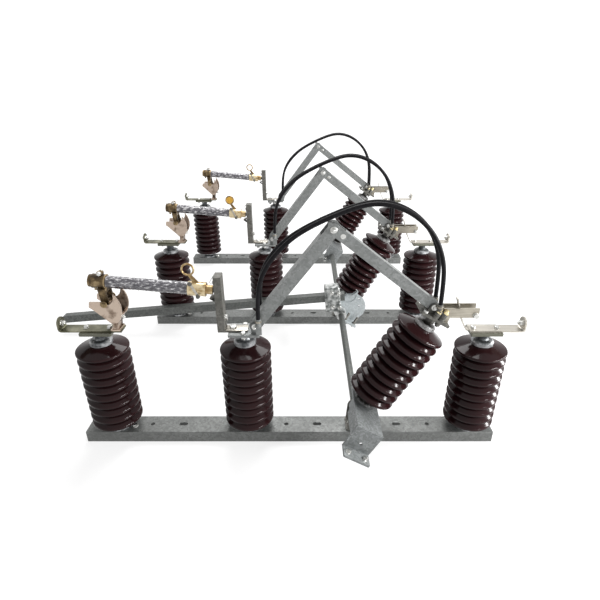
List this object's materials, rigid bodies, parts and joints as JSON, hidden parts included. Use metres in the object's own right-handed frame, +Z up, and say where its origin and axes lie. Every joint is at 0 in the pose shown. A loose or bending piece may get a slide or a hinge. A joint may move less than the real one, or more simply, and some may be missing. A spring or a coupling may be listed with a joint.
{
  "type": "substation disconnect switch",
  "caption": "Gang-operated medium-voltage disconnect switch on ribbed posts: rocking posts with folding knee arms open each pole, and a drop-out fuse sits in series.",
  "frame": {"origin": "middle of the middle pole's base channel, at its upper face, centre of its bolt holes", "axes": "+X along each pole from the fuse end to the jaw end, +Y along the gang shaft, +Z up"},
  "size_m": [2.2287, 2.343, 0.9988],
  "materials": {
    "porcelain": "gloss",
    "galvanised_steel": "matte",
    "cast_fittings": "matte",
    "tinned_copper": "satin",
    "bronze": "satin",
    "fuse_tube": "gloss",
    "cable_jacket": "matte"
  },
  "bodies": {
    "root": {"bearing_stands": "galvanised_steel", "fixed_fittings": "cast_fittings", "base_channel_front": "galvanised_steel", "fixed_insulators_front": "porcelain", "fuse_terminal_front": "tinned_copper", "fuse_hinge_front": "bronze", "latch_upright_front": "galvanised_steel", "arm_clevis_front": "galvanised_steel", "jaw_contact_front": "tinned_copper", "lower_cables_front": "cable_jacket", "base_channel_middle": "galvanised_steel", "fixed_insulators_middle": "porcelain", "fuse_terminal_middle": "tinned_copper", "fuse_hinge_middle": "bronze", "latch_upright_middle": "galvanised_steel", "arm_clevis_middle": "galvanised_steel", "jaw_contact_middle": "tinned_copper", "lower_cables_middle": "cable_jacket", "base_channel_rear": "galvanised_steel", "fixed_insulators_rear": "porcelain", "fuse_terminal_rear": "tinned_copper", "fuse_hinge_rear": "bronze", "latch_upright_rear": "galvanised_steel", "arm_clevis_rear": "galvanised_steel", "jaw_contact_rear": "tinned_copper", "lower_cables_rear": "cable_jacket"},
    "shaft": {"gang_shaft": "galvanised_steel", "operating_lever": "galvanised_steel", "lever_hub": "cast_fittings", "hub_plate": "cast_fittings", "rocking_insulators": "porcelain", "rocking_fittings": "cast_fittings", "link_clevises": "galvanised_steel", "moving_contacts": "tinned_copper", "post_seat_front": "galvanised_steel", "upper_cables_front": "cable_jacket", "post_seat_middle": "galvanised_steel", "upper_cables_middle": "cable_jacket", "post_seat_rear": "galvanised_steel", "upper_cables_rear": "cable_jacket"},
    "lower_arm_front": {"lower_arm_front": "galvanised_steel"},
    "upper_arm_front": {"upper_arm_front": "galvanised_steel"},
    "fuse_front": {"fuse_tube_front": "fuse_tube", "fuse_heel_front": "bronze", "fuse_head_front": "bronze"},
    "lower_arm_middle": {"lower_arm_middle": "galvanised_steel"},
    "upper_arm_middle": {"upper_arm_middle": "galvanised_steel"},
    "fuse_middle": {"fuse_tube_middle": "fuse_tube", "fuse_heel_middle": "bronze", "fuse_head_middle": "bronze"},
    "lower_arm_rear": {"lower_arm_rear": "galvanised_steel"},
    "upper_arm_rear": {"upper_arm_rear": "galvanised_steel"},
    "fuse_rear": {"fuse_tube_rear": "fuse_tube", "fuse_heel_rear": "bronze", "fuse_head_rear": "bronze"}
  },
  "joints": [
    {"name": "shaft_turn", "type": "hinge", "parent": "root", "child": "shaft", "pos_m": [0.275, 0, 0.07], "axis": [0, -1, 0], "range_deg": [0, 46], "deforming": ["lower_cables_front", "upper_cables_front", "lower_cables_middle", "upper_cables_middle", "lower_cables_rear", "upper_cables_rear"]},
    {"name": "lower_arm_front_turn", "type": "hinge", "parent": "root", "child": "lower_arm_front", "pos_m": [-0.12, -1, 0.488], "axis": [0, -1, 0], "range_deg": [0, 52]},
    {"name": "upper_arm_front_turn", "type": "hinge", "parent": "shaft", "child": "upper_arm_front", "pos_m": [0.534, -1, 0.563], "axis": [0, -1, 0], "range_deg": [-53.5, 0]},
    {"name": "lower_arm_middle_turn", "type": "hinge", "parent": "root", "child": "lower_arm_middle", "pos_m": [-0.12, 0, 0.488], "axis": [0, -1, 0], "range_deg": [0, 52]},
    {"name": "upper_arm_middle_turn", "type": "hinge", "parent": "shaft", "child": "upper_arm_middle", "pos_m": [0.534, 0, 0.563], "axis": [0, -1, 0], "range_deg": [-53.5, 0]},
    {"name": "lower_arm_rear_turn", "type": "hinge", "parent": "root", "child": "lower_arm_rear", "pos_m": [-0.12, 1, 0.488], "axis": [0, -1, 0], "range_deg": [0, 52]},
    {"name": "upper_arm_rear_turn", "type": "hinge", "parent": "shaft", "child": "upper_arm_rear", "pos_m": [0.534, 1, 0.563], "axis": [0, -1, 0], "range_deg": [-53.5, 0]},
    {"name": "fuse_front_turn", "type": "hinge", "parent": "root", "child": "fuse_front", "pos_m": [-0.655, -1, 0.584], "axis": [0, -1, 0], "range_deg": [0, 90]},
    {"name": "fuse_middle_turn", "type": "hinge", "parent": "root", "child": "fuse_middle", "pos_m": [-0.655, 0, 0.584], "axis": [0, -1, 0], "range_deg": [0, 90]},
    {"name": "fuse_rear_turn", "type": "hinge", "parent": "root", "child": "fuse_rear", "pos_m": [-0.655, 1, 0.584], "axis": [0, -1, 0], "range_deg": [0, 90]}
  ],
  "couplings": [
    {"joint": "lower_arm_front_turn", "follows": "shaft_turn", "ratio": 1.1233},
    {"joint": "upper_arm_front_turn", "follows": "shaft_turn", "ratio": -1.1562},
    {"joint": "lower_arm_middle_turn", "follows": "shaft_turn", "ratio": 1.1233},
    {"joint": "upper_arm_middle_turn", "follows": "shaft_turn", "ratio": -1.1562},
    {"joint": "lower_arm_rear_turn", "follows": "shaft_turn", "ratio": 1.1233},
    {"joint": "upper_arm_rear_turn", "follows": "shaft_turn", "ratio": -1.1562}
  ]
}
